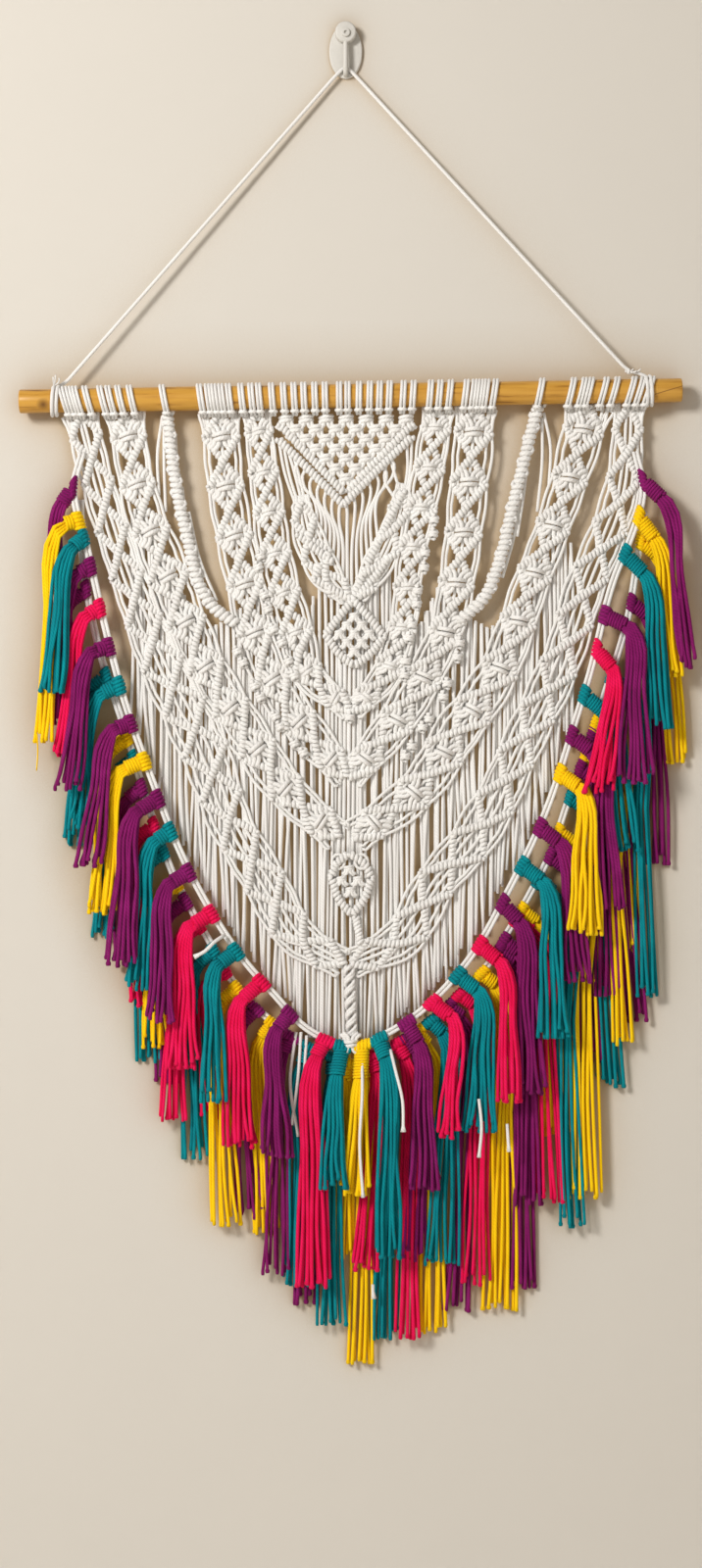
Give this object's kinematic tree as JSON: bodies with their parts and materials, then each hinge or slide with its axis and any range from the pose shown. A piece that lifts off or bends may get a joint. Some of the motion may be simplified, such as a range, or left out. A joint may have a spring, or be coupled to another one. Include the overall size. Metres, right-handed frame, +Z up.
{
  "type": "macrame wall hanging with dowel rod and wall hook",
  "caption": "Macrame wall hanging: knotted off-white cord on a wooden rod with rows of purple, yellow, teal and pink tassels, hung by a cord from a wall hook.",
  "frame": {"origin": "middle of the back of the wall hook's plate, on the wall", "axes": "+Z up, +X along the rod to the viewer's right, -Y out from the wall to the viewer"},
  "size_m": [0.8125, 0.0564, 1.6298],
  "materials": {
    "hook": "satin",
    "wood": "varnished",
    "cotton": "matte",
    "purple": "matte",
    "yellow": "matte",
    "teal": "matte",
    "pink": "matte"
  },
  "bodies": {
    "root": {"wall_hook": "hook", "rod": "wood", "hanging_cord": "cotton", "macrame_web": "cotton", "background_fringe": "cotton", "front_garland": "cotton", "tassel_01_purple": "purple", "tassel_02_yellow": "yellow", "tassel_03_teal": "teal", "tassel_04_purple": "purple", "tassel_05_pink": "pink", "tassel_06_purple": "purple", "tassel_07_teal": "teal", "tassel_08_purple": "purple", "tassel_09_yellow": "yellow", "tassel_10_purple": "purple", "tassel_11_teal": "teal", "tassel_12_purple": "purple", "tassel_13_pink": "pink", "tassel_14_teal": "teal", "tassel_15_pink": "pink", "tassel_16_purple": "purple", "tassel_17_pink": "pink", "tassel_18_teal": "teal", "tassel_19_yellow": "yellow", "tassel_20_teal": "teal", "tassel_21_purple": "purple", "tassel_22_pink": "pink", "tassel_23_teal": "teal", "tassel_24_pink": "pink", "tassel_25_purple": "purple", "tassel_26_teal": "teal", "tassel_27_purple": "purple", "tassel_28_yellow": "yellow", "tassel_29_purple": "purple", "tassel_30_teal": "teal", "tassel_31_pink": "pink", "tassel_32_purple": "purple", "tassel_33_teal": "teal", "tassel_34_yellow": "yellow", "tassel_35_purple": "purple", "back_row_left": "purple", "back_row_right": "purple"}
  },
  "joints": []
}
